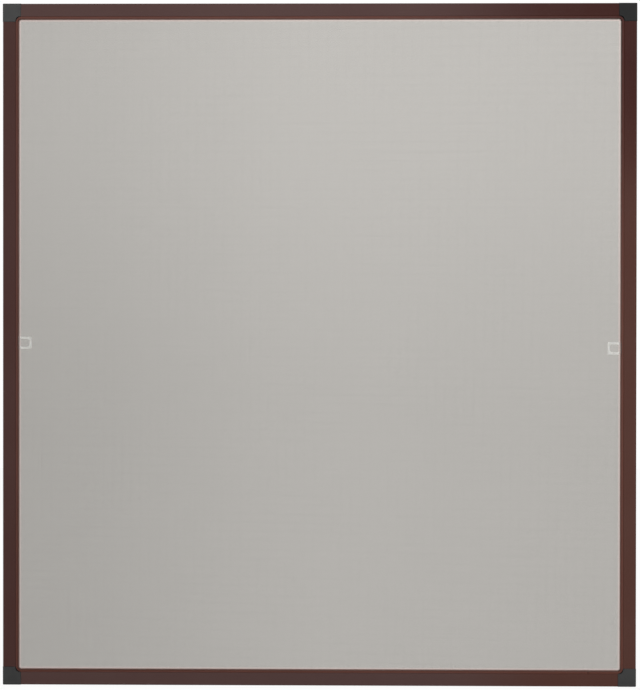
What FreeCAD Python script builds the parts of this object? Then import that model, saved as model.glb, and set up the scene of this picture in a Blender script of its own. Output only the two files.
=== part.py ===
import FreeCAD, Part
import math
import os

from FreeCAD import Vector

# A framed insect screen for a window. Four lengths of extruded rail are joined by moulded
# corner pieces whose legs push into the rails, and a soft cord holds the mesh in a groove
# along the rails' inner edges. Millimetres, X across, Z up. The grooved side faces -Y, and
# the origin is at the middle of the bottom rail's outer edge.

# Frame, measured over the rails
frame_width = 990.0
frame_height = 1066.0

# Rail section: an extrusion with a hollow chamber, and a groove and lip along its inner edge
rail_width = 25.0
rail_depth = 10.0
rail_wall = 1.2
rail_edge_radius = 0.8
lip_thickness = 0.8
lip_drop = 1.2
groove_width = 4.4
groove_depth = 6.0
bead_height = 0.3
small_radius = 0.3

# Moulded corner pieces, standing a little proud of the rails
corner_round = 3.0
corner_proud = 0.3
corner_groove_radius = 6.0
corner_edge_radius = 0.6
corner_outer_radius = 1.5
seam_gap = 0.2
leg_length = 42.0
leg_root = 2.0
leg_clearance = 0.15
leg_collar = 7.0
leg_tip = 5.0
leg_tip_cut = 2.0
leg_tip_taper = 1.0
leg_slot_width = 4.0
leg_slot_start = 14.0
barb_count = 5
barb_depth = 0.6

# Mesh: a thin wall with gaps between bands of strands. Where two bands cross, a raised float
# shows which of them passes over, in turn, as in a plain weave.
cloth_thickness = 0.3
hem_height = 3.2
gap_count_across = 10
gap_count_up = 12
band_width = 18.0
edge_band = 10.0
float_width = 11.0
float_height = 0.12
float_end_gap = 3.0
float_margin = 2.5

# Cord pressed into the groove over the mesh, rolled nearly flush with the rails
spline_height = 5.2
spline_round = 0.7
spline_joint = 1.0
spline_joint_at = 420.0
fit_gap = 0.05

# Pull loops, each with a tail held in the groove beside the cord
tab_width = 19.4
tab_reach = 20.0
tab_thickness = 0.5
tab_band = 3.8
tab_root_band = 1.5
tab_corner_radius = 2.0
tab_hole_radius = 3.0
tab_bend_radius = 0.4
tab_tilt = 4.0
tab_tail = 3.4
tab_side_gap = 0.3
tab_raise_left = 3.0
tab_raise_right = -4.8

# How far a cutting shape runs past what it cuts
cut_over = 1.0

# Levels in the rail section: u is measured in from the outer edge, v forward from the back
groove_inner = rail_width - lip_thickness
groove_outer = groove_inner - groove_width
chamber_end = groove_outer - rail_wall
groove_floor = rail_depth - groove_depth
floor_back = groove_floor - rail_wall
lip_top = rail_depth - lip_drop
lip_round = 0.45 * lip_thickness
corner_reach = rail_width + corner_round

# Levels of the mesh and its hem in the same section
cloth_back = lip_top + fit_gap
cloth_front = cloth_back + cloth_thickness
hem_lip_back = groove_inner - fit_gap
hem_lip_face = hem_lip_back - cloth_thickness
hem_floor_back = groove_floor + fit_gap
hem_floor_face = hem_floor_back + cloth_thickness
hem_wall_back = groove_outer + fit_gap
hem_wall_face = hem_wall_back + cloth_thickness

# Bands and gaps of the mesh, spread evenly over the opening
opening_width = frame_width - 2 * rail_width
opening_height = frame_height - 2 * rail_width
bands_across = 2 * edge_band + (gap_count_across - 1) * band_width
bands_up = 2 * edge_band + (gap_count_up - 1) * band_width
gap_width = (opening_width - bands_across) / gap_count_across
gap_height = (opening_height - bands_up) / gap_count_up
pitch_across = gap_width + band_width
pitch_up = gap_height + band_width

# Each side as (direction of its run, direction inwards, middle of its outer edge, length).
# On every side (run, inwards, forwards) is right-handed, and the run starts at the corner
# of the same place in CORNERS.
half_width = frame_width / 2
half_height = frame_height / 2
SIDES = {
    "bottom": (Vector(1, 0, 0), Vector(0, 0, 1), Vector(0, 0, 0), frame_width),
    "right": (Vector(0, 0, 1), Vector(-1, 0, 0), Vector(half_width, 0, half_height), frame_height),
    "top": (Vector(-1, 0, 0), Vector(0, 0, -1), Vector(0, 0, frame_height), frame_width),
    "left": (Vector(0, 0, -1), Vector(1, 0, 0), Vector(-half_width, 0, half_height), frame_height),
}
CORNERS = {
    "bottom": "corner_bottom_left",
    "right": "corner_bottom_right",
    "top": "corner_top_right",
    "left": "corner_top_left",
}


def on_side(side, shape, at_start=False):
    """Move a shape drawn in (run, u, v) to its side, or to the corner where the run starts."""
    run, inward, edge, length = SIDES[side]
    forward = Vector(0, -1, 0)
    base = edge + Vector(0, rail_depth / 2, 0)
    if at_start:
        base = base - run * (length / 2)
    matrix = FreeCAD.Matrix(
        run.x, inward.x, forward.x, base.x,
        run.y, inward.y, forward.y, base.y,
        run.z, inward.z, forward.z, base.z,
        0, 0, 0, 1,
    )
    placed = shape.copy()
    placed.Placement = FreeCAD.Placement(matrix).multiply(placed.Placement)
    return placed


def rounded_wire(corners, lift):
    """Closed wire through (p, q, radius) corners. lift turns p and q into a point."""
    starts = []
    ends = []
    middles = []
    count = len(corners)
    for index in range(count):
        p, q, radius = corners[index]
        here = Vector(p, q, 0)
        before = Vector(corners[index - 1][0], corners[index - 1][1], 0)
        after = Vector(corners[(index + 1) % count][0], corners[(index + 1) % count][1], 0)
        if radius <= 0:
            starts.append(here)
            ends.append(here)
            middles.append(None)
            continue
        to_before = (before - here).normalize()
        to_after = (after - here).normalize()
        half = to_before.getAngle(to_after) / 2
        setback = radius / math.tan(half)
        bisector = (to_before + to_after).normalize()
        centre = here + bisector * (radius / math.sin(half))
        starts.append(here + to_before * setback)
        ends.append(here + to_after * setback)
        middles.append(centre - bisector * radius)
    edges = []
    for index in range(count):
        if middles[index] is not None:
            arc = Part.Arc(
                lift(starts[index].x, starts[index].y),
                lift(middles[index].x, middles[index].y),
                lift(ends[index].x, ends[index].y),
            )
            edges.append(arc.toShape())
        following = starts[(index + 1) % count]
        if ends[index].distanceToPoint(following) > 1e-6:
            line = Part.LineSegment(
                lift(ends[index].x, ends[index].y),
                lift(following.x, following.y),
            )
            edges.append(line.toShape())
    return Part.Wire(edges)


def section_face(corners, run):
    """Face across a side at a place along its run, from (u, v, radius) corners."""
    return Part.Face(rounded_wire(corners, lambda u, v: Vector(run, u, v)))


def plan_prism(corners, low, high):
    """Solid between two levels of v, from (run, u, radius) corners of its plan."""
    face = Part.Face(rounded_wire(corners, lambda s, u: Vector(s, u, low)))
    return face.extrude(Vector(0, 0, high - low))


def box(run_low, run_high, u_low, u_high, v_low, v_high):
    """Plain block between limits along the run, across it and forwards."""
    corner = Vector(run_low, u_low, v_low)
    return Part.makeBox(run_high - run_low, u_high - u_low, v_high - v_low, corner)


def corner_sweep(corners):
    """Section carried round a corner of the opening, in the corner's own directions."""
    axis_point = Vector(corner_reach, corner_reach, 0)
    return section_face(corners, corner_reach).revolve(axis_point, Vector(0, 0, 1), -90)


def ring(corners):
    """Section carried right round the frame, straight on the sides and curved in the corners."""
    pieces = []
    for side in SIDES:
        length = SIDES[side][3]
        start = corner_reach - length / 2
        straight = section_face(corners, start).extrude(Vector(length - 2 * corner_reach, 0, 0))
        pieces.append(on_side(side, straight))
        pieces.append(on_side(side, corner_sweep(corners), at_start=True))
    return pieces[0].multiFuse(pieces[1:]).removeSplitter()


def make_rail(side):
    """Length of extrusion between two corner pieces."""
    length = SIDES[side][3] - 2 * (corner_reach + seam_gap)
    bead_middle = rail_depth - small_radius - 2 * bead_height
    outside = [
        (0, 0, rail_edge_radius),
        (groove_outer, 0, small_radius),
        (groove_outer, floor_back, small_radius),
        (rail_width, floor_back, small_radius),
        (rail_width, lip_top, lip_round),
        (groove_inner, lip_top, lip_round),
        (groove_inner, groove_floor, 0),
        (groove_outer, groove_floor, 0),
        (groove_outer, bead_middle - bead_height, 0),
        (groove_outer + bead_height, bead_middle, 0),
        (groove_outer, bead_middle + bead_height, 0),
        (groove_outer, rail_depth, small_radius),
        (0, rail_depth, rail_edge_radius),
    ]
    chamber = [
        (rail_wall, rail_wall, small_radius),
        (chamber_end, rail_wall, small_radius),
        (chamber_end, rail_depth - rail_wall, small_radius),
        (rail_wall, rail_depth - rail_wall, small_radius),
    ]
    section = section_face(outside, -length / 2).cut(section_face(chamber, -length / 2))
    return on_side(side, section.extrude(Vector(length, 0, 0)))


def make_leg():
    """Barbed leg along the run from a corner block, with a slot that lets it spring."""
    width_low = rail_wall + leg_clearance
    width_high = chamber_end - leg_clearance
    middle = rail_depth / 2
    full = rail_depth / 2 - rail_wall - leg_clearance
    thin = full - barb_depth
    end = corner_reach + leg_length
    barbs_from = corner_reach + leg_collar
    barb_pitch = (leg_length - leg_collar - leg_tip) / barb_count
    outline = [(corner_reach - leg_root, full), (barbs_from, full)]
    for index in range(barb_count):
        near = barbs_from + (index + 0.3) * barb_pitch
        outline.append((near - 0.3 * barb_pitch, thin))
        outline.append((near, thin))
        outline.append((near, full))
    outline.append((end - leg_tip, thin))
    outline.append((end, thin - leg_tip_taper))
    upper = [(run, middle + rise) for run, rise in outline]
    lower = [(run, middle - rise) for run, rise in reversed(outline)]
    points = [Vector(run, width_low, v) for run, v in upper + lower]
    side_face = Part.Face(Part.makePolygon(points + points[:1]))
    leg = side_face.extrude(Vector(0, width_high - width_low, 0))
    plan = plan_prism(
        [
            (corner_reach - leg_root, width_low, 0),
            (end, width_low, leg_tip_cut),
            (end, width_high, leg_tip_cut),
            (corner_reach - leg_root, width_high, 0),
        ],
        0,
        rail_depth,
    )
    centre = (width_low + width_high) / 2
    slot = plan_prism(
        [
            (corner_reach + leg_slot_start, centre - leg_slot_width / 2, 0.45 * leg_slot_width),
            (end + cut_over, centre - leg_slot_width / 2, 0),
            (end + cut_over, centre + leg_slot_width / 2, 0),
            (corner_reach + leg_slot_start, centre + leg_slot_width / 2, 0.45 * leg_slot_width),
        ],
        0,
        rail_depth,
    )
    return leg.common(plan).cut(slot)


def make_corner():
    """Corner block with its turn of groove and lip, and a leg for each of two rails."""
    front = rail_depth + corner_proud
    block = plan_prism(
        [
            (-corner_proud, -corner_proud, corner_outer_radius),
            (corner_reach, -corner_proud, 0),
            (corner_reach, groove_outer, 0),
            (groove_outer, groove_outer, corner_groove_radius),
            (groove_outer, corner_reach, 0),
            (-corner_proud, corner_reach, 0),
        ],
        0,
        front,
    )
    rounded = []
    for edge in block.Edges:
        bounds = edge.BoundBox
        level = bounds.ZLength < 1e-6
        at_front = level and abs(bounds.ZMin - front) < 1e-6
        at_back = level and abs(bounds.ZMin) < 1e-6
        outside = min(bounds.XMax, bounds.YMax) < corner_outer_radius
        if at_front or (at_back and outside):
            rounded.append(edge)
    block = block.makeFillet(corner_edge_radius, rounded)
    root = groove_outer - rail_wall / 2
    floor = plan_prism(
        [
            (root, root, 0),
            (corner_reach, root, 0),
            (corner_reach, corner_reach, 0),
            (root, corner_reach, 0),
        ],
        floor_back,
        groove_floor,
    )
    opening = Part.makeCylinder(
        corner_round, rail_depth, Vector(corner_reach, corner_reach, 0)
    )
    lip = corner_sweep(
        [
            (groove_inner, floor_back, 0),
            (rail_width, floor_back, small_radius),
            (rail_width, lip_top, lip_round),
            (groove_inner, lip_top, lip_round),
        ]
    )
    leg = make_leg()
    other_leg = leg.mirror(Vector(0, 0, 0), Vector(1, -1, 0))
    return block.multiFuse([floor.cut(opening), lip, leg, other_leg]).removeSplitter()


def on_cloth(run, u):
    """Point of the mesh's plan at its back face."""
    return Vector(run, u, cloth_back)


def gap_outlines():
    """Corners of each gap between the mesh's bands."""
    outlines = []
    for column in range(gap_count_across):
        left = edge_band - opening_width / 2 + column * pitch_across
        right = left + gap_width
        for row in range(gap_count_up):
            low = rail_width + edge_band + row * pitch_up
            high = low + gap_height
            outlines.append([(left, low, 0), (right, low, 0), (right, high, 0), (left, high, 0)])
    return outlines


def within_opening(run_low, run_high, u_low, u_high):
    """Limits of a float, kept a margin away from the lip."""
    side = opening_width / 2 - float_margin
    low = rail_width + float_margin
    high = rail_width + opening_height - float_margin
    return max(run_low, -side), min(run_high, side), max(u_low, low), min(u_high, high)


def make_floats():
    """Raised floats at the crossings: upright in front and level behind, then the other way."""
    floats = []
    root = cloth_thickness / 4
    half = float_width / 2
    half_across = pitch_across / 2 - float_end_gap
    half_up = pitch_up / 2 - float_end_gap
    for column in range(gap_count_across + 1):
        at = edge_band - band_width / 2 - opening_width / 2 + column * pitch_across
        for row in range(gap_count_up + 1):
            up = rail_width + edge_band - band_width / 2 + row * pitch_up
            front = within_opening(at - half, at + half, up - half_up, up + half_up)
            back = within_opening(at - half_across, at + half_across, up - half, up + half)
            if (column + row) % 2 == 1:
                front, back = back, front
            floats.append(box(*front, cloth_front - root, cloth_front + float_height))
            floats.append(box(*back, cloth_back - float_height, cloth_back + root))
    return floats


def make_mesh():
    """Mesh over the opening with its hem folded over the lip and under the cord."""
    hem = ring(
        [
            (rail_width, cloth_front, 0),
            (hem_lip_face, cloth_front, lip_round + fit_gap + cloth_thickness),
            (hem_lip_face, hem_floor_face, 0),
            (hem_wall_face, hem_floor_face, 0),
            (hem_wall_face, hem_floor_back + hem_height, 0),
            (hem_wall_back, hem_floor_back + hem_height, 0),
            (hem_wall_back, hem_floor_back, 0),
            (hem_lip_back, hem_floor_back, 0),
            (hem_lip_back, cloth_back, lip_round + fit_gap),
            (rail_width, cloth_back, 0),
        ]
    )
    half = opening_width / 2
    far = rail_width + opening_height
    outline = [
        (-half, rail_width, corner_round),
        (half, rail_width, corner_round),
        (half, far, corner_round),
        (-half, far, corner_round),
    ]
    wires = [rounded_wire(corners, on_cloth) for corners in [outline] + gap_outlines()]
    wall = Part.Face(wires).extrude(Vector(0, 0, cloth_thickness))
    sheet = hem.fuse(on_side("bottom", wall)).removeSplitter()
    return sheet.multiFuse([on_side("bottom", block) for block in make_floats()])


def tab_place(side):
    """Place of a pull loop's middle along its side's run."""
    if side == "left":
        return -tab_raise_left
    return tab_raise_right


def make_spline():
    """Cord right round the groove, with a butt joint, pressed flat beside each loop's tail."""
    low_u = hem_wall_face + fit_gap
    high_u = hem_lip_face - fit_gap
    bottom = hem_floor_face + fit_gap
    top = bottom + spline_height
    cord = ring(
        [
            (low_u, bottom, 0),
            (high_u, bottom, 0),
            (high_u, top, spline_round),
            (low_u, top, spline_round),
        ]
    )
    cuts = []
    joint = box(
        spline_joint_at, spline_joint_at + spline_joint,
        groove_outer, groove_inner,
        groove_floor, rail_depth,
    )
    cuts.append(on_side("bottom", joint))
    for side in ("left", "right"):
        middle = tab_place(side)
        pressed = box(
            middle - tab_width / 2 - tab_side_gap, middle + tab_width / 2 + tab_side_gap,
            high_u - tab_thickness - fit_gap, groove_inner,
            lip_top - tab_tail - fit_gap, rail_depth,
        )
        cuts.append(on_side(side, pressed))
    return cord.cut(cuts)


def make_tab(side):
    """Pull loop: a bent strip with a tail in the groove and a hole for a fingertip."""
    middle = tab_place(side)
    back = hem_lip_face - fit_gap
    front = back - tab_thickness
    tail = lip_top - tab_tail
    under = cloth_front + fit_gap
    slope = math.tan(math.radians(tab_tilt))
    end = rail_width + tab_reach
    lift = tab_thickness / math.cos(math.radians(tab_tilt))
    tail_round = 0.4 * tab_thickness
    strip = section_face(
        [
            (front, tail, tail_round),
            (back, tail, tail_round),
            (back, under, tab_bend_radius),
            (end, under + slope * (end - back), 0),
            (end, under + slope * (end - back) + lift, 0),
            (front, under - slope * tab_thickness + lift, tab_bend_radius + tab_thickness),
        ],
        middle - tab_width / 2,
    ).extrude(Vector(tab_width, 0, 0))
    plan = plan_prism(
        [
            (middle - tab_width / 2, front - cut_over, 0),
            (middle + tab_width / 2, front - cut_over, 0),
            (middle + tab_width / 2, end, tab_corner_radius),
            (middle - tab_width / 2, end, tab_corner_radius),
        ],
        0,
        2 * rail_depth,
    )
    half_hole = tab_width / 2 - tab_band
    hole = plan_prism(
        [
            (middle - half_hole, rail_width + tab_root_band, tab_hole_radius),
            (middle + half_hole, rail_width + tab_root_band, tab_hole_radius),
            (middle + half_hole, end - tab_band, tab_hole_radius),
            (middle - half_hole, end - tab_band, tab_hole_radius),
        ],
        0,
        2 * rail_depth,
    )
    return on_side(side, strip.common(plan).cut(hole))


os.makedirs("parts", exist_ok=True)

for side in SIDES:
    make_rail(side).exportStep("parts/" + side + "_rail.step")

corner = make_corner()
for side in SIDES:
    on_side(side, corner, at_start=True).exportStep("parts/" + CORNERS[side] + ".step")

make_mesh().exportStep("parts/screen_mesh.step")
make_spline().exportStep("parts/retaining_spline.step")

for side in ("left", "right"):
    make_tab(side).exportStep("parts/pull_tab_" + side + ".step")
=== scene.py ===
# %% [markdown]
# # A framed insect screen for a window
# The real thing is four lengths of brown coated aluminium rail, four dark grey moulded corners,
# a woven mesh stretched over the opening, a soft cord that presses the mesh into a groove, and
# two clear pull loops. The rails, corners, cord and loops arrive as exact solids and keep their
# shapes, so they only need finishes. The mesh arrives as one thin wall with coarse gaps, and its
# single strands are woven here.

# %% Bring in the solids
import math
import random

import bpy
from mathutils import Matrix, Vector


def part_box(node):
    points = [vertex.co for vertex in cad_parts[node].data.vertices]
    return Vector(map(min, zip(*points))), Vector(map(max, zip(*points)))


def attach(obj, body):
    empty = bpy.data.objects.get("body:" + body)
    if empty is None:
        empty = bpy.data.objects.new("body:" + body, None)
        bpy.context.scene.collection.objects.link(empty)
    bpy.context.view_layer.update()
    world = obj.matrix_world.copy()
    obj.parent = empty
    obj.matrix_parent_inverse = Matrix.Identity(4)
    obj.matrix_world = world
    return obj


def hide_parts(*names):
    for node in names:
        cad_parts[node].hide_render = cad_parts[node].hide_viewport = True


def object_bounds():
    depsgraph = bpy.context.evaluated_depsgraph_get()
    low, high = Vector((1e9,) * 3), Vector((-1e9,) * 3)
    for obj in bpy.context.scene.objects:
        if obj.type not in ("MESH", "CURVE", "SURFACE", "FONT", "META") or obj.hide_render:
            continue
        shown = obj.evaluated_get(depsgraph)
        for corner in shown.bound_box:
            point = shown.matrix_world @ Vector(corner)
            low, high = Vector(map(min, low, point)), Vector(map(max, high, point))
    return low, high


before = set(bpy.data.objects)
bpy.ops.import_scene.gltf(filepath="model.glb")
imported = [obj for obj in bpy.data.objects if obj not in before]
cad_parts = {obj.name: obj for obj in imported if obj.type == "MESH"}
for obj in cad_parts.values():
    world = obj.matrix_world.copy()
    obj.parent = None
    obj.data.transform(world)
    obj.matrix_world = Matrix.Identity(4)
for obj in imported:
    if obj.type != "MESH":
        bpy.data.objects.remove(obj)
cad_box = [list(corner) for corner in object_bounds()]
print("solids:", sorted(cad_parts))
print("solid box in metres:", cad_box)

# %% [markdown]
# ## Writing materials as sums
# A material is a net of nodes, and a long net is hard to read. A small class that stands for
# the value on one socket lets a sum be written as a sum, and each sign adds its Math node.
# Every other node comes from one method: its type, its settings, then its sockets.


# %% A value in a material, and a material that adds nodes
class Flow:
    """The value that leaves a socket, so that maths on it reads as maths."""

    def __init__(self, finish, socket):
        self.finish = finish
        self.socket = socket

    def maths(self, operation, first, second):
        return self.finish.node("Math", {"operation": operation}, {0: first, 1: second})

    def __add__(self, other):
        return self.maths("ADD", self, other)

    def __radd__(self, other):
        return self.maths("ADD", other, self)

    def __sub__(self, other):
        return self.maths("SUBTRACT", self, other)

    def __rsub__(self, other):
        return self.maths("SUBTRACT", other, self)

    def __mul__(self, other):
        return self.maths("MULTIPLY", self, other)

    def __rmul__(self, other):
        return self.maths("MULTIPLY", other, self)

    def larger(self, other):
        return self.maths("MAXIMUM", self, other)

    def cosine(self):
        return self.finish.node("Math", {"operation": "COSINE"}, {0: self})


class Finish:
    """A node tree that is being filled, with one method for any kind of node."""

    def __init__(self, tree):
        self.tree = tree

    def node(self, kind, settings, sockets, output=0):
        made = self.tree.nodes.new("ShaderNode" + kind)
        for name, value in settings.items():
            setattr(made, name, value)
        for name, value in sockets.items():
            self.feed(made.inputs[name], value)
        return Flow(self, made.outputs[output]) if made.outputs else None

    def feed(self, socket, value):
        if isinstance(value, Flow):
            self.tree.links.new(value.socket, socket)
        else:
            socket.default_value = value

    def place(self, scale=(1, 1, 1)):
        """Where a point is on the object, in metres, stretched by a scale for each axis."""
        point = self.node("TexCoord", {}, {}, "Object")
        return self.node("Mapping", {}, {"Vector": point, "Scale": scale})

    def along(self, axis):
        """How far a point is along one axis of the object, in metres."""
        return self.node("SeparateXYZ", {}, {0: self.place()}, axis)

    def outside(self, half_wide, half_high, middle):
        """How far a point is outside an upright rectangle, and less than 0 inside it."""
        across = self.along("X")
        up = self.along("Z") - middle
        return (across.larger(0 - across) - half_wide).larger(up.larger(0 - up) - half_high)

    def noise(self, scale, detail=2.0, stretch=(1, 1, 1)):
        sockets = {"Vector": self.place(stretch), "Scale": scale, "Detail": detail}
        return self.node("TexNoise", {}, sockets, "Fac")

    def ramp(self, value, low, high, out_low=0.0, out_high=1.0):
        sockets = {0: value, 1: low, 2: high, 3: out_low, 4: out_high}
        return self.node("MapRange", {}, sockets)

    def ease(self, value, low, high):
        """From 0 to 1 between two values, with a soft start and end."""
        settings = {"interpolation_type": "SMOOTHSTEP"}
        return self.node("MapRange", settings, {0: value, 1: low, 2: high})

    def blend(self, factor, first, second):
        """One colour turning into another."""
        return self.node("Mix", {"data_type": "RGBA"}, {0: factor, 6: first, 7: second}, 2)

    def bump(self, height, distance, strength=1.0):
        sockets = {"Height": height, "Distance": distance, "Strength": strength}
        return self.node("Bump", {}, sockets, "Normal")


def dress(finish, sockets):
    """Set or link sockets of the finish's shader."""
    for name, value in sockets.items():
        finish.feed(finish.shader.inputs[name], value)


def new_finish(name, sockets):
    """A material around one Principled shader, with the values that are the same all over."""
    material = bpy.data.materials.new(name)
    material.use_nodes = True
    finish = Finish(material.node_tree)
    finish.material = material
    finish.shader = material.node_tree.nodes["Principled BSDF"]
    dress(finish, sockets)
    return finish


def wear(node, finish):
    """Give a solid its finish in place of the plain one that it came with."""
    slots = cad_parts[node].data.materials
    slots.clear()
    slots.append(finish.material)


print("material tools are ready")

# %% [markdown]
# ## The rails' brown coat
# The rails are aluminium sections with a baked powder coat. Such a coat is satin, with a fine
# orange-peel skin, and the lines that the die drew along the section show faintly through it.
# One noise in all directions makes the skin. The same noise stretched along the rail makes the
# lines. The four lengths differ a little in colour: the level ones are paler and greyer, a
# painted sheen, the right one is warmer, and the two that meet at the top right darken there
# with painted shade. The thin lip along the opening has a painted highlight in a brighter red,
# so a point's distance from the opening's edge picks between two coats.

# %% Coat for a rail that runs along one axis
# The palest, greyest coat is a painted sheen, and the darkest coat is painted shade at the top
# right.
COAT_PAINTED_SHADE = (0.033, 0.006, 0.004, 1)
COAT_BROWN = (0.049, 0.019, 0.016, 1)
COAT_WARM = (0.066, 0.024, 0.017, 1)
COAT_PAINTED_SHEEN = (0.066, 0.034, 0.031, 1)
COAT_DUST = (0.16, 0.125, 0.11, 1)
# The lip's bright red is a painted highlight along the shaded lip at the opening.
COAT_LIP_HIGHLIGHT = (0.15, 0.03, 0.02, 1)
COAT_ROUGHNESS = (0.44, 0.56)
COAT_RELIEF = 0.00003
LIP_WIDTH = 0.0010
LIP_BLUR = 1.2
SKIN_GRAIN = 900
DIE_LINES = 1400
STRETCH_ALONG = 0.002
BLOOM_CLOUDS = 7.0
MOST_BLOOM = 0.06
DUST_SPECKS = 2300
SPECK_LEVELS = (0.70, 0.78)
MOST_SPECK = 0.5
# A noise's values crowd round a half: most are in the first range, and the second trims the ends.
MOST_NOISE = (0.3, 0.7)
MID_NOISE = (0.35, 0.65)
TURN_SHARES = (0.3, 0.9)
ALONG_X = 0
ALONG_Z = 2
# For each rail: its axis, the way to the opening, and the first and last colour of face and lip.
COATS = {
    "top_rail": (ALONG_X, -1, (COAT_PAINTED_SHEEN, COAT_PAINTED_SHADE), (COAT_LIP_HIGHLIGHT, COAT_PAINTED_SHADE)),
    "bottom_rail": (ALONG_X, 1, (COAT_PAINTED_SHEEN, COAT_WARM), (COAT_LIP_HIGHLIGHT, COAT_LIP_HIGHLIGHT)),
    "left_rail": (ALONG_Z, 1, (COAT_BROWN, COAT_BROWN), (COAT_LIP_HIGHLIGHT, COAT_LIP_HIGHLIGHT)),
    "right_rail": (ALONG_Z, -1, (COAT_WARM, COAT_PAINTED_SHADE), (COAT_LIP_HIGHLIGHT, COAT_PAINTED_SHADE)),
}


def drawn_out(along, share):
    """Scales that draw a pattern out along one axis, which makes lines of it."""
    return [share if axis == along else 1.0 for axis in range(3)]


def brown_coat(rail, along, inward, face_colours, lip_colours):
    """Coat of one rail: face and lip turn from a first colour to a last one on the far half."""
    finish = new_finish("brown_coat_" + rail, {"Specular IOR Level": 0.05, "IOR": 1.5})
    low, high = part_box(rail)
    middle = (low[along] + high[along]) / 2
    far_half = high[along] - middle
    turn_from, turn_to = [middle + share * far_half for share in TURN_SHARES]
    turn = finish.ease(finish.along("XYZ"[along]), turn_from, turn_to)
    across = ALONG_Z if along == ALONG_X else ALONG_X
    opening_edge = (high if inward > 0 else low)[across]
    depth = (opening_edge - finish.along("XYZ"[across])) * inward
    on_lip = 1 - finish.ease(depth, LIP_WIDTH, LIP_BLUR * LIP_WIDTH)
    face = finish.blend(turn, *face_colours)
    lip = finish.blend(turn, *lip_colours)
    coat = finish.blend(on_lip, face, lip)
    skin = finish.noise(SKIN_GRAIN, 2.0)
    lines = finish.noise(DIE_LINES, 1.0, drawn_out(along, STRETCH_ALONG))
    cloud = finish.noise(BLOOM_CLOUDS, 3.0)
    speck = finish.ramp(finish.noise(DUST_SPECKS, 1.0), *SPECK_LEVELS, 0.0, MOST_SPECK)
    bloom = finish.ramp(cloud * 0.7 + lines * 0.3, *MID_NOISE, 0.0, MOST_BLOOM)
    dress(finish, {
        "Base Color": finish.blend(bloom.larger(speck), coat, COAT_DUST),
        "Roughness": finish.ramp(lines * 0.5 + skin * 0.5, *MOST_NOISE, *COAT_ROUGHNESS),
        "Normal": finish.bump(skin * 0.7 + lines * 0.3, COAT_RELIEF, 0.5),
    })
    return finish


for rail, settings in COATS.items():
    wear(rail, brown_coat(rail, *settings))
print("coated", len(COATS), "rails")

# %% [markdown]
# ## The corners' moulded plastic
# The corner pieces are dark grey filled plastic from a spark-eroded mould, which leaves a fine
# even grain. Each corner gets its own grey, and the greys hold painted light: the top left is
# lighter with a painted reflection, and the top right is much darker with painted shade.

# %% Moulded grey, one shade with painted light for each corner
# Each corner's grey holds painted light: a painted reflection at the top left, painted shade at
# the top right.
CORNER_GREYS_WITH_PAINTED_LIGHT = {
    "corner_top_left": 0.043,
    "corner_top_right": 0.009,
    "corner_bottom_left": 0.031,
    "corner_bottom_right": 0.033,
}
MOULD_GRAIN = 1700
MOULD_FLOW = 60.0
MOULD_DARK = (0.86, 0.87, 0.86)
MOULD_LIGHT = (1.16, 1.17, 1.15)
MOULD_ROUGHNESS = (0.5, 0.62)
MOULD_RELIEF = 0.00004


def tinted(shade, tints):
    """A colour from one shade of grey and a factor for each channel."""
    return [shade * tint for tint in tints] + [1]


def grey_moulding(name, shade):
    finish = new_finish(name, {"Specular IOR Level": 0.1, "IOR": 1.5})
    grain = finish.noise(MOULD_GRAIN, 3.0)
    flow = finish.noise(MOULD_FLOW, 3.0)
    tone = finish.ramp(flow * 0.6 + grain * 0.4, *MOST_NOISE)
    dress(finish, {
        "Base Color": finish.blend(tone, tinted(shade, MOULD_DARK), tinted(shade, MOULD_LIGHT)),
        "Roughness": finish.ramp(grain, *MOST_NOISE, *MOULD_ROUGHNESS),
        "Normal": finish.bump(grain, MOULD_RELIEF, 0.6),
    })
    return finish


for corner, shade in CORNER_GREYS_WITH_PAINTED_LIGHT.items():
    wear(corner, grey_moulding("grey_moulding_" + corner, shade))
print("moulded", len(CORNER_GREYS_WITH_PAINTED_LIGHT), "corners")

# %% [markdown]
# ## The cord in the groove
# The cord is soft brown plastic, a little redder and smoother than the coat. A wheel pressed it
# in, and its fine teeth leave a ripple every few millimetres. The sum of across and up changes
# along every side of the frame, so one cosine of it ripples the whole cord. The outer shoulder,
# beside the shaded groove, has a painted highlight. The cord has painted light, paler to the
# right and along the top, and painted shade, deep in the top right corner, as the coat has.

# %% Pressed soft plastic
CORD_DARK = (0.054, 0.0150, 0.0090, 1)
CORD_LIGHT = (0.082, 0.0245, 0.0155, 1)
# The deep colour is painted shade for the top right corner.
CORD_PAINTED_SHADE = (0.035, 0.0040, 0.0015, 1)
# The rubbed colour is a painted highlight on the outer shoulder, beside the shaded groove.
CORD_SHOULDER_HIGHLIGHT = (0.15, 0.055, 0.040, 1)
CORD_ROUGHNESS = (0.4, 0.54)
CORD_RELIEF = 0.00005
CORD_GRAIN = 420
CORD_CLOUDS = 22.0
CLOUD_SHARE = 0.4
RIGHT_LIGHT_SHARE = 0.6
TOP_LIGHT_SHARE = 0.5
TOP_RUN = 0.06
SHOULDER = (-0.0010, -0.0003)
WHEEL_PITCH = 0.0042


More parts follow.
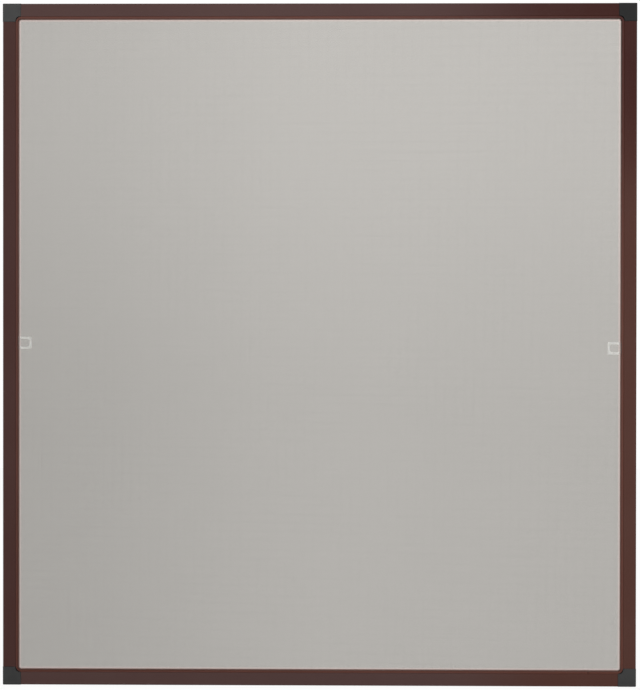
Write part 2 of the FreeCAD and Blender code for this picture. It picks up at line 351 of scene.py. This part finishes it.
def brown_cord(name):
    """Cord whose paleness adds three shares: its clouds, and painted light towards the right and
    along the top.
    """
    finish = new_finish(name, {"Specular IOR Level": 0.12, "IOR": 1.48})
    across = finish.along("X")
    up = finish.along("Z")
    ripple = ((across + up) * (2 * math.pi / WHEEL_PITCH)).cosine()
    skin = finish.noise(CORD_GRAIN, 2.0)
    cloud = finish.noise(CORD_CLOUDS, 2.0)
    low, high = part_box("retaining_spline")
    middle = (low.z + high.z) / 2
    tone = finish.ramp(cloud * 0.6 + skin * 0.4, *MID_NOISE) * CLOUD_SHARE
    # Painted light: paler towards the right and along the top.
    lit_right = finish.ease(across, low.x, high.x) * RIGHT_LIGHT_SHARE
    lit_top = finish.ease(up, high.z - TOP_RUN, high.z) * TOP_LIGHT_SHARE
    plain = finish.blend(tone + (lit_right + lit_top), CORD_DARK, CORD_LIGHT)
    # Painted shade, deep in the top right corner.
    top_right_shade = finish.ease(across, 0, high.x) * finish.ease(up, middle, high.z)
    crown = finish.blend(top_right_shade, plain, CORD_PAINTED_SHADE)
    # Painted highlight on the outer shoulder, beside the shaded groove.
    painted_highlight = finish.blend(top_right_shade, CORD_SHOULDER_HIGHLIGHT, CORD_LIGHT)
    shoulder = finish.ease(finish.outside(high.x, high.z - middle, middle), *SHOULDER)
    dress(finish, {
        "Base Color": finish.blend(shoulder, crown, painted_highlight),
        "Roughness": finish.ramp(skin, *MOST_NOISE, *CORD_ROUGHNESS),
        "Normal": finish.bump(ripple * 0.5 + skin * 0.5, CORD_RELIEF, 0.6),
    })
    return finish


wear("retaining_spline", brown_cord("brown_cord"))
print("cord finished")

# %% [markdown]
# ## The clear pull loops
# The loops are punched from clear soft sheet with a frosted skin. Most of the light goes
# through and the rest scatters, so the loop is a little paler than the mesh behind it. Its
# skin is uneven, which shows as soft waves in what it reflects. The foot of a loop is drawn
# tight over the lip and down beside the cord. There its skin is pressed smooth and nearly
# clear, and the lip shows through, so a loop looks open towards the frame.

# %% Frosted clear plastic
LOOP_CLEAR = (0.88, 0.88, 0.86, 1)
LOOP_MILKY = (0.80, 0.80, 0.77, 1)
LOOP_ROUGHNESS = (0.24, 0.42)
LOOP_RELIEF = 0.0001
LOOP_WAVES = 160
LOOP_FROST = 1500
FOOT = (-0.0030, -0.0008)
FOOT_SEE_THROUGH = 0.85


def frosted_clear(name, opening_edge):
    """Loop plastic that turns clear towards the opening's edge, the same on both sides."""
    finish = new_finish(name, {"Transmission Weight": 0.86, "IOR": 1.45})
    wave = finish.noise(LOOP_WAVES, 2.0)
    frost = finish.noise(LOOP_FROST, 2.0)
    across = finish.along("X")
    foot = finish.ease(across.larger(0 - across) - opening_edge, *FOOT)
    dress(finish, {
        "Base Color": finish.blend(finish.ramp(wave, *MID_NOISE), LOOP_MILKY, LOOP_CLEAR),
        "Roughness": finish.ramp(frost * 0.5 + wave * 0.5, *MOST_NOISE, *LOOP_ROUGHNESS),
        "Alpha": 1 - foot * FOOT_SEE_THROUGH,
        "Normal": finish.bump(wave * 0.7 + frost * 0.3, LOOP_RELIEF, 0.5),
    })
    return finish


loop_finish = frosted_clear("frosted_clear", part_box("right_rail")[0].x)
for loop in ("pull_tab_left", "pull_tab_right"):
    wear(loop, loop_finish)
print("loops finished")

# %% [markdown]
# ## The mesh's yarn
# The mesh is glass yarn with a grey vinyl skin, woven over and under and then heated, so that
# the skins join where they cross. A strand is thinner than a third of a millimetre, and the
# weave's rise and fall is a fraction of that, so the strands stay straight and the rise and
# fall is a bump. Two cosines multiplied change sign at each crossing, as a plain weave does.
# The same sign darkens the yarn where a strand passes under, as painted shade. Along the
# opening's edge the yarn has a painted highlight, a pale, reddish thin line round the mesh, so
# it follows the distance from the edge.

# %% Yarn for strands that run along one axis
STRAND = 0.00030
PITCH = 0.0254 / 18
YARN_DARK = (0.100, 0.093, 0.082, 1)
YARN_LIGHT = (0.160, 0.149, 0.132, 1)
# The rubbed colour is a painted highlight along the opening's edge.
YARN_EDGE_HIGHLIGHT = (0.37, 0.22, 0.19, 1)
HIGHLIGHT_FROM = (-0.0040, -0.0022)
HIGHLIGHT_TO = (-0.0006, 0.0002)
YARN_ROUGHNESS = (0.5, 0.64)
YARN_RELIEF = 0.00005
BATCH_GRAIN = 650
BATCH_STRETCH = 0.02
BATCH_SHARE = 0.7
# The crossing share is painted shade at the crossings of the weave.
CROSSING_SHADE_SHARE = 0.3


def vinyl_yarn(name, along, first_high, half_wide, half_high, middle):
    """Yarn of one kind of strand, with a painted highlight along the edge of an opening of the
    given half sizes.

    first_high is 1 for the kind that lies on top at the middle crossing, and -1 for the other.
    """
    finish = new_finish(name, {"Specular IOR Level": 0.3, "IOR": 1.5})
    wave = math.pi / PITCH
    across = finish.along("X")
    up = finish.along("Z") - middle
    over = (across * wave).cosine() * (up * wave).cosine()
    batch = finish.noise(BATCH_GRAIN, 1.0, drawn_out(along, BATCH_STRETCH))
    # Painted shade: darker where the strand passes under, lighter where it lies over.
    tone = finish.ramp(batch, *MOST_NOISE) * BATCH_SHARE + over * (CROSSING_SHADE_SHARE * first_high)
    grey = finish.blend(tone, YARN_DARK, YARN_LIGHT)
    past_edge = finish.outside(half_wide, half_high, middle)
    # A painted highlight in a thin band just inside the opening's edge.
    painted_highlight = finish.ease(past_edge, *HIGHLIGHT_FROM) * (1 - finish.ease(past_edge, *HIGHLIGHT_TO))
    dress(finish, {
        "Base Color": finish.blend(painted_highlight, grey, YARN_EDGE_HIGHLIGHT),
        "Roughness": finish.ramp(batch, *MOST_NOISE, *YARN_ROUGHNESS),
        "Normal": finish.bump(over * first_high, YARN_RELIEF, 0.5),
    })
    return finish


print("yarn is", STRAND, "m thick, with a strand every", round(PITCH, 6), "m")

# %% [markdown]
# ## Weaving the mesh
# Upright strands are the warp and level strands the weft. Each is a square bar whose ends turn
# over the rail's lip and go down into the groove beside the cord. One bar of each kind is
# shaped and an Array repeats it over the opening. Near the corners the groove is round, so the
# last few strands on each side are a little shorter and are made one by one. One more strand on
# each side lies in the mouth of the groove, between the cord and the lip. No loom spaces its
# strands quite evenly, so each bar is cut into lengths and wanders a little from cut to cut.
# That leaves faint streaks, as on linen, where a perfect grid would leave bands in a picture.

# %% Where the opening is
left_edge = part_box("left_rail")[1].x
right_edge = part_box("right_rail")[0].x
bottom_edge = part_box("bottom_rail")[1].z
top_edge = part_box("top_rail")[0].z
middle_up = (bottom_edge + top_edge) / 2
CORNER_ROUND = 0.003
LEG_INSET = 0.0010
BEND = 0.00056
LEG_DROP = 0.0018
LEVEL_STEP = 0.00013
FRONT_GAP = 0.00002
mesh_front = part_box("screen_mesh")[0].y + FRONT_GAP
warp_level = mesh_front + STRAND / 2
weft_level = warp_level + LEVEL_STEP
hem_level = mesh_front + BEND
half_across = (right_edge - left_edge) / 2
half_up = (top_edge - bottom_edge) / 2
print("opening:", round(2 * half_across, 4), "by", round(2 * half_up, 4))


# %% One strand
CUTS = 9
IN_LINE = 0.9


def split_along(mesh, direction):
    """In edit mode, cut a bar into equal lengths."""
    bpy.ops.mesh.select_mode(type="EDGE")
    bpy.ops.mesh.select_all(action="DESELECT")
    bpy.ops.object.mode_set(mode="OBJECT")
    for edge in mesh.edges:
        start, end = [mesh.vertices[number].co for number in edge.vertices]
        edge.select = abs((end - start).normalized().dot(direction)) > IN_LINE
    bpy.ops.object.mode_set(mode="EDIT")
    bpy.ops.mesh.subdivide(number_cuts=CUTS)


def pick_faces(mesh, direction, limit):
    """In edit mode, select only the faces that look along a direction, past a limit along it."""
    bpy.ops.mesh.select_all(action="DESELECT")
    bpy.ops.object.mode_set(mode="OBJECT")
    for face in mesh.polygons:
        in_line = face.normal.dot(direction) > IN_LINE
        face.select = in_line and face.center.dot(direction) > limit
    bpy.ops.object.mode_set(mode="EDIT")


def turn_end(mesh, direction, reach, level):
    """Carry a strand's end over the lip and down into the groove."""
    bpy.ops.mesh.select_mode(type="FACE")
    pick_faces(mesh, direction, reach - 2 * BEND)
    end = direction * (reach - BEND)
    pivot = end + Vector((0, level + BEND, 0))
    axis = direction.cross(Vector((0, 1, 0)))
    bpy.ops.mesh.spin(steps=2, angle=math.pi / 2, center=pivot, axis=axis)
    bpy.ops.mesh.extrude_region_move(TRANSFORM_OT_translate={"value": (0, LEG_DROP, 0)})


def straight_bar(name, place, direction, half):
    """A square bar of the strand's width, which runs half its length each way from its place."""
    bpy.ops.object.select_all(action="DESELECT")
    side = direction.cross(Vector((0, 1, 0)))
    size = [abs(direction[i]) * 2 * half + abs(side[i]) * STRAND for i in range(3)]
    size[1] = STRAND
    bpy.ops.mesh.primitive_cube_add(size=1, location=place, scale=size)
    bpy.context.object.name = name
    bpy.ops.object.transform_apply(location=True, rotation=True, scale=True)
    return bpy.context.object


def strand(name, place, direction, reach):
    """One strand through the origin of its run, moved to its place when it is shaped."""
    bar = straight_bar(name, (0, place.y, 0), direction, reach - BEND)
    bpy.ops.object.mode_set(mode="EDIT")
    split_along(bar.data, direction)
    for way in (direction, -direction):
        turn_end(bar.data, way, reach, place.y)
    bpy.ops.mesh.select_all(action="SELECT")
    bpy.ops.mesh.remove_doubles(threshold=1e-6)
    bpy.ops.mesh.normals_make_consistent(inside=False)
    bpy.ops.object.mode_set(mode="OBJECT")
    bar.location = (place.x, 0, place.z)
    bpy.ops.object.transform_apply(location=True, rotation=True, scale=True)
    return bar


print("a strand is cut into", CUTS + 1, "lengths")


# %% Repeat the strands over the opening
def reach_at(offset, half_side, half_run):
    """How far a strand's legs are from the middle of its run, less where the groove is round."""
    past = max(0.0, abs(offset) - (half_side - CORNER_ROUND))
    leg_radius = CORNER_ROUND + LEG_INSET
    return half_run - CORNER_ROUND + math.sqrt(leg_radius ** 2 - past ** 2)


def wander(mesh, count, across, direction, amount, seed):
    """Shift each strand sideways by chance, and each of its cuts by a further chance."""
    chance = random.Random(seed)
    size = len(mesh.vertices) // count
    half = max(vertex.co.dot(direction) for vertex in mesh.vertices) - direction.z * middle_up
    for number in range(count):
        own = chance.gauss(0, amount)
        shifts = [own + chance.gauss(0, amount) for cut in range(CUTS + 2)]
        for vertex in mesh.vertices[number * size:(number + 1) * size]:
            way = (vertex.co.dot(direction) - direction.z * middle_up) / half
            vertex.co += across * shifts[round((way + 1) / 2 * (CUTS + 1))]


def weave(name, across, direction, level, half_side, half_run, amount):
    """All strands of one kind, as one object."""
    centre = Vector((0, level, middle_up))
    half_count = int((half_side - CORNER_ROUND) / PITCH)
    first = centre - across * (half_count * PITCH)
    main = strand(name, first, direction, reach_at(0, half_side, half_run))
    bpy.ops.object.modifier_add(type="ARRAY")
    array = main.modifiers[-1]
    array.count = 2 * half_count + 1
    array.use_relative_offset = False
    array.use_constant_offset = True
    array.constant_offset_displace = across * PITCH
    bpy.ops.object.modifier_apply(modifier=array.name)
    wander(main.data, 2 * half_count + 1, across, direction, amount, name)
    edge_strands = []
    number = half_count + 1
    while number * PITCH < half_side + LEG_INSET / 2:
        for sign in (-1, 1):
            offset = sign * number * PITCH
            reach = reach_at(offset, half_side, half_run)
            edge_strands.append(strand(name + "_edge", centre + across * offset, direction, reach))
        number += 1
    for sign in (-1, 1):
        place = centre + across * sign * (half_side + LEG_INSET)
        place.y = hem_level
        edge_strands.append(straight_bar(name + "_hem", place, direction, half_run - CORNER_ROUND))
    bpy.ops.object.select_all(action="DESELECT")
    for bar in edge_strands + [main]:
        bar.select_set(True)
    bpy.context.view_layer.objects.active = main
    bpy.ops.object.join()
    print(name, "has", 2 * half_count + 1 + len(edge_strands), "strands")
    return main


ACROSS = Vector((1, 0, 0))
UP = Vector((0, 0, 1))
WARP_WANDER = 0.000013
WEFT_WANDER = 0.00002
warp = weave("screen_weave", ACROSS, UP, warp_level, half_across, half_up, WARP_WANDER)
weft = weave("weft", UP, ACROSS, weft_level, half_up, half_across, WEFT_WANDER)

# %% Give the strands their yarn and join them
opening = (half_across, half_up, middle_up)
warp.data.materials.append(vinyl_yarn("warp_yarn", ALONG_Z, 1, *opening).material)
weft.data.materials.append(vinyl_yarn("weft_yarn", ALONG_X, -1, *opening).material)
bpy.ops.object.select_all(action="DESELECT")
weft.select_set(True)
warp.select_set(True)
bpy.context.view_layer.objects.active = warp
bpy.ops.object.join()
screen = warp
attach(screen, "root")
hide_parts("screen_mesh")
print("weave has", len(screen.data.polygons), "faces")

# %% [markdown]
# ## The stage
# The screen stands on a white floor in white air, with a grey card close behind it. The card
# glows though it is no lamp. Seen through the mesh, its grey is painted shade in place of the
# mesh's shadow on a wall, with painted light: darker to the left and paler towards the top.
# From behind, a card would hide the frame, so its material is clear on that side, and it is
# clear to the lamps as well.

# %% Floor and card
def stage_material(name):
    material = bpy.data.materials.new(name)
    material.use_nodes = True
    material.node_tree.nodes.clear()
    return material, Finish(material.node_tree)


def seen_ray(finish):
    """1 for a ray that ends in the picture: straight, by a reflection or through clear plastic."""
    straight = finish.node("LightPath", {}, {}, "Is Camera Ray")
    glossy = finish.node("LightPath", {}, {}, "Is Glossy Ray")
    through = finish.node("LightPath", {}, {}, "Is Transmission Ray")
    return straight.larger(glossy).larger(through)


def add_stage(name, size, location, rotation, material):
    bpy.ops.object.select_all(action="DESELECT")
    bpy.ops.mesh.primitive_plane_add(size=1, location=location, rotation=rotation)
    plane = bpy.context.object
    plane.name = name
    plane.scale = (size[0], size[1], 1)
    bpy.ops.object.transform_apply(location=False, rotation=False, scale=True)
    plane.data.materials.append(material)


# The card's glow is painted: its grey is painted shade, and its rise from the left and towards the
# top is painted light.
CARD_GAP = 0.0006
CARD_MARGIN = 0.015
CARD_TINT = (1.0, 0.97, 0.925, 1)
CARD_SHADE_GREY = 0.545
CARD_GAIN_ACROSS = 0.096
CARD_GAIN_UP = 0.125
CARD_LIT_ACROSS = (-1.1, 0.1)
CARD_LIT_UP = (-0.3, 1.0)
low, high = Vector(cad_box[0]), Vector(cad_box[1])

card_material, card = stage_material("shade_card")
lit_across = card.ease(card.along("X"), *[share * half_across for share in CARD_LIT_ACROSS])
lit_up = card.ease(card.along("Y"), *[share * half_up for share in CARD_LIT_UP])
level = lit_across * CARD_GAIN_ACROSS + lit_up * CARD_GAIN_UP + CARD_SHADE_GREY
# A glow that is no lamp: painted shade with painted light.
painted_glow = card.node("Emission", {}, {"Color": CARD_TINT, "Strength": level})
clear = card.node("BsdfTransparent", {}, {})
front = 1 - card.node("NewGeometry", {}, {}, "Backfacing")
shown = card.node("MixShader", {}, {0: seen_ray(card) * front, 1: clear, 2: painted_glow})
card.node("OutputMaterial", {}, {"Surface": shown})
card_size = (2 * (half_across + CARD_MARGIN), 2 * (half_up + CARD_MARGIN))
card_place = (0, high.y + CARD_GAP, middle_up)
card_turn = (math.radians(90), 0, 0)
add_stage("card", card_size, card_place, card_turn, card_material)

WHITE = (1, 1, 1, 1)
FLOOR_WHITE = (0.90, 0.90, 0.90, 1)
FLOOR_GLOW = 0.95
FLOOR_SIZE = (12, 12)
floor_material, floor = stage_material("white_floor")
paint = floor.node("BsdfDiffuse", {}, {"Color": FLOOR_WHITE})
glow = floor.node("Emission", {}, {"Color": WHITE, "Strength": 1.0})
lit = floor.node("MixShader", {}, {0: seen_ray(floor) * FLOOR_GLOW, 1: paint, 2: glow})
floor.node("OutputMaterial", {}, {"Surface": lit})
add_stage("floor", FLOOR_SIZE, (0, 0, low.z), (0, 0, 0), floor_material)
print("stage is set")

# %% [markdown]
# ## Light
# A soft box far out in front, close to the camera's line, lights the frame evenly with its
# shadows hidden behind it. Its beam is narrow and aimed high, so the light falls off gently
# towards the lower left. A pale world fills the sides, and a weak box lights the back.

# %% Lamps and world
def soft_box(name, location, target, size, power, spread):
    """A rectangular lamp aimed at a target, with its power in watts and its spread in degrees."""
    aim = (Vector(target) - Vector(location)).to_track_quat("-Z", "Y").to_euler()
    bpy.ops.object.light_add(type="AREA", location=location, rotation=aim)
    lamp = bpy.context.object
    lamp.name = name
    lamp.data.shape = "RECTANGLE"
    lamp.data.size, lamp.data.size_y = size
    lamp.data.energy = power
    lamp.data.spread = math.radians(spread)


soft_box("front_box", location=(0.25, -5.0, 1.0), target=(0.30, 0, 0.90),
         size=(2.23, 2.51), power=30, spread=60)
soft_box("back_box", location=(-1.6, 3.0, 1.8), target=(0, 0, 0.5),
         size=(1.5, 1.5), power=60, spread=180)

WORLD_LIGHT = 0.4
world = bpy.data.worlds.new("pale_world")
bpy.context.scene.world = world
world.use_nodes = True
world.node_tree.nodes.clear()
sky = Finish(world.node_tree)
brightness = seen_ray(sky) * (1 - WORLD_LIGHT) + WORLD_LIGHT
air = sky.node("Background", {}, {"Color": WHITE, "Strength": brightness})
sky.node("OutputWorld", {}, {"Surface": air})
bpy.context.scene.view_settings.view_transform = "Standard"
print("lamps are set")

# %% [markdown]
# ## Camera
# The picture is taken nearly square on, from a little right of the middle, with a long lens.
# The place and the turns come from where the frame's four edges lie in the picture.

# %% Camera
CAMERA_PLACE = (0.0766, -4.0470, 0.5687)
CAMERA_TURN = (89.491, -0.059, 1.065)
SENSOR_HEIGHT = 36
LENS = 135
camera_turn = [math.radians(angle) for angle in CAMERA_TURN]
bpy.ops.object.camera_add(location=CAMERA_PLACE, rotation=camera_turn)
camera = bpy.context.object
camera.data.sensor_fit = "VERTICAL"
camera.data.sensor_height = SENSOR_HEIGHT
camera.data.lens = LENS
bpy.context.scene.camera = camera
print("camera is at", CAMERA_PLACE)
